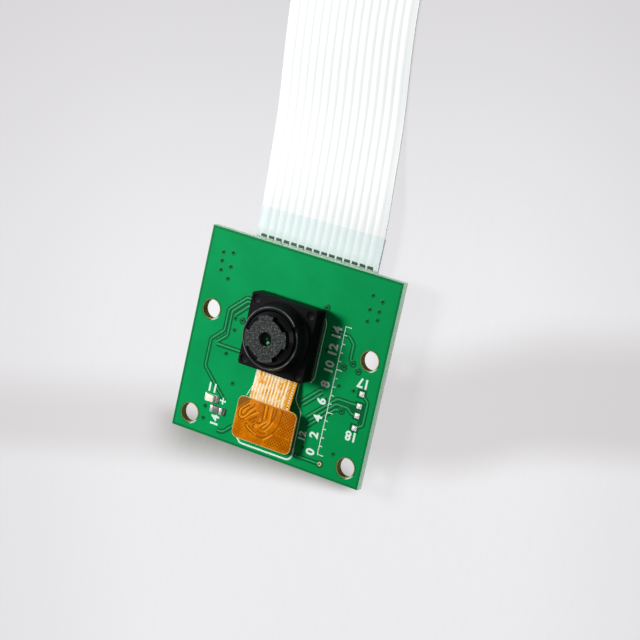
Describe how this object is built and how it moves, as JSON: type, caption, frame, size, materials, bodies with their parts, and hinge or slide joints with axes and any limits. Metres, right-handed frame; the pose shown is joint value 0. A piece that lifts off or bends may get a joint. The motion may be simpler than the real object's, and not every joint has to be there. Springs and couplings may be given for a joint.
{
  "type": "camera module",
  "caption": "Fixed-focus camera on a small square circuit board, with mounting holes, a threaded lens head on a flex tail and a flat ribbon cable in a sliding-latch connector.",
  "frame": {"origin": "middle of the four mounting holes, on the board's front face", "axes": "+Z out of the lens, square to the board; +Y along the ribbon cable, away from the board; +X completes the right-handed set"},
  "size_m": [0.025, 0.1691, 0.0091],
  "materials": {
    "barrel_plastic": "sparkling moulded dark grey",
    "black_plastic": "fine moulded black",
    "blue_film": "blue polyester stiffener",
    "board": "glossy green solder mask over glass laminate",
    "chip_ceramic": "tan ceramic",
    "chip_plastic": "moulded epoxy",
    "dark_plastic": "moulded dark brown-black",
    "ferrite_body": "dark ferrite",
    "filter_glass": "coated glass",
    "flex": "amber polyimide film over copper tracks",
    "foam": "black adhesive foam",
    "gold": "gold plating",
    "lamp_ceramic": "white ceramic",
    "lamp_resin": "milky resin",
    "lens_glass": "coated optical plastic",
    "lid_metal": "plated lid",
    "resistor_body": "dark glazed film on ceramic",
    "ribbon_film": "white polyester film",
    "silicon": "polished silicon",
    "steel": "thin rolled sheet",
    "tin": "satin tin plating",
    "white_plastic": "moulded natural nylon"
  },
  "bodies": {
    "module": {"bare_pads": "tin", "board": "board", "capacitor_1": "chip_ceramic", "capacitor_2": "chip_ceramic", "capacitor_3": "chip_ceramic", "capacitor_4": "chip_ceramic", "capacitor_5": "chip_ceramic", "capacitor_6": "chip_ceramic", "capacitor_7": "chip_ceramic", "capacitor_8": "chip_ceramic", "capacitor_9": "chip_ceramic", "connector_contacts": "tin", "connector_tabs": "tin", "far_conductors": "tin", "far_stiffener": "blue_film", "ferrite_1": "ferrite_body", "ferrite_2": "ferrite_body", "flex_plug": "dark_plastic", "flex_tail": "flex", "foam_pad": "foam", "front_lens": "lens_glass", "head_plate": "steel", "image_sensor": "silicon", "infrared_filter": "filter_glass", "lamp_base": "lamp_ceramic", "lamp_top": "lamp_resin", "led_resistor": "resistor_body", "lens_baffles": "black_plastic", "lens_barrel": "barrel_plastic", "lens_housing": "black_plastic", "lens_retainer": "black_plastic", "near_conductors": "tin", "near_stiffener": "blue_film", "oscillator_base": "chip_ceramic", "oscillator_lid": "lid_metal", "plug_pins": "gold", "rear_lens": "lens_glass", "receptacle": "dark_plastic", "receptacle_pins": "gold", "regulator_1": "chip_plastic", "regulator_2": "chip_plastic", "regulator_3": "chip_plastic", "regulator_leads_1": "tin", "regulator_leads_2": "tin", "regulator_leads_3": "tin", "resistor_1": "resistor_body", "resistor_2": "resistor_body", "resistor_3": "resistor_body", "resistor_4": "resistor_body", "ribbon_cable": "ribbon_film", "ribbon_connector": "white_plastic", "second_lens": "lens_glass", "sensor_substrate": "board", "tail_plate": "flex", "third_lens": "lens_glass"},
    "latch": {"connector_latch": "dark_plastic"}
  },
  "joints": [
    {"name": "latch_slide", "type": "slide", "parent": "module", "child": "latch", "axis": [0, 1, 0], "range_m": [0, 0.001]}
  ]
}
